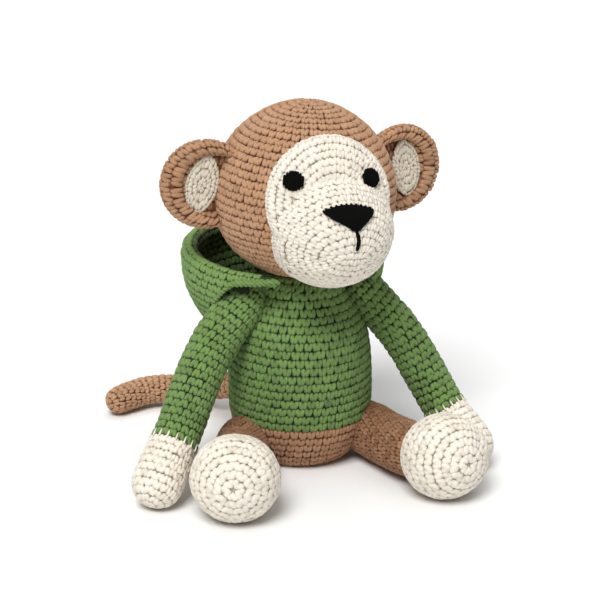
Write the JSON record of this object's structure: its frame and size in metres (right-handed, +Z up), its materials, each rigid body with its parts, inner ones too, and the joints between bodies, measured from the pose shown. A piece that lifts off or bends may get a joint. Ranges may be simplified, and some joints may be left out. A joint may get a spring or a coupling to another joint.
{
  "type": "crochet monkey",
  "caption": "Seated stuffed crochet monkey in a hooded sweater, with round feet, cupped ears, a swelling muzzle, floppy sewn limbs, a curled tail and a turning head.",
  "frame": {"origin": "middle of the flat seat that the monkey sits on, under the torso's axis", "axes": "the monkey faces -Y, its left side is +X, +Z is up"},
  "size_m": [0.1948, 0.1929, 0.1933],
  "materials": {
    "brown_yarn": "matt cotton crochet",
    "green_yarn": "matt cotton crochet",
    "cream_yarn": "matt cotton crochet",
    "black_yarn": "matt embroidery yarn",
    "stuffing": "loose polyester filling"
  },
  "bodies": {
    "torso": {"seat": "brown_yarn", "sweater_body": "green_yarn", "torso_stuffing": "stuffing", "neck_stitching": "green_yarn"},
    "head": {"head_shell": "brown_yarn", "head_stuffing": "stuffing", "face_panel": "cream_yarn", "muzzle_stuffing": "stuffing", "eye_right": "black_yarn", "eye_left": "black_yarn", "nose": "black_yarn", "mouth_stitch": "black_yarn", "ear_right": "brown_yarn", "ear_lining_right": "cream_yarn", "ear_left": "brown_yarn", "ear_lining_left": "cream_yarn"},
    "hood": {"hood": "green_yarn"},
    "arm_right": {"sleeve_right": "green_yarn", "hand_right": "cream_yarn", "arm_stuffing_right": "stuffing"},
    "arm_left": {"sleeve_left": "green_yarn", "hand_left": "cream_yarn", "arm_stuffing_left": "stuffing"},
    "leg_right": {"leg_right": "brown_yarn", "foot_right": "cream_yarn", "leg_stuffing_right": "stuffing"},
    "leg_left": {"leg_left": "brown_yarn", "foot_left": "cream_yarn", "leg_stuffing_left": "stuffing"},
    "tail": {"tail": "brown_yarn", "tail_stuffing": "stuffing"}
  },
  "joints": [
    {"name": "head_turn", "type": "hinge", "parent": "torso", "child": "head", "pos_m": [0.0015, -0.0025, 0.1465], "axis": [0.0452, 0.0043, 0.999], "range_deg": [-25, 25], "stiffness_Nm_per_rad": 0.3},
    {"name": "hood_flop", "type": "hinge", "parent": "torso", "child": "hood", "pos_m": [0, -0.005, 0.1048], "axis": [1, 0, 0], "range_deg": [-3, 6], "stiffness_Nm_per_rad": 0.3},
    {"name": "arm_right_lift", "type": "hinge", "parent": "torso", "child": "arm_right", "pos_m": [-0.0317, -0.00677, 0.09034], "axis": [-0.63, 0.7766, 0], "range_deg": [-5, 50], "stiffness_Nm_per_rad": 0.2},
    {"name": "arm_left_lift", "type": "hinge", "parent": "torso", "child": "arm_left", "pos_m": [0.03285, -0.00619, 0.08933], "axis": [-0.6691, -0.7432, 0], "range_deg": [-5, 50], "stiffness_Nm_per_rad": 0.2},
    {"name": "leg_right_lift", "type": "hinge", "parent": "torso", "child": "leg_right", "pos_m": [-0.03554, -0.01737, 0.01446], "axis": [-0.9574, 0.2887, 0], "range_deg": [-15, 30], "stiffness_Nm_per_rad": 0.2},
    {"name": "leg_left_lift", "type": "hinge", "parent": "torso", "child": "leg_left", "pos_m": [0.03373, -0.01746, 0.01604], "axis": [-0.9529, -0.3032, 0], "range_deg": [-15, 30], "stiffness_Nm_per_rad": 0.2},
    {"name": "tail_swing", "type": "hinge", "parent": "torso", "child": "tail", "pos_m": [-0.00869, 0.03465, 0.02694], "axis": [0, 0, 1], "range_deg": [-20, 20], "stiffness_Nm_per_rad": 0.1}
  ]
}
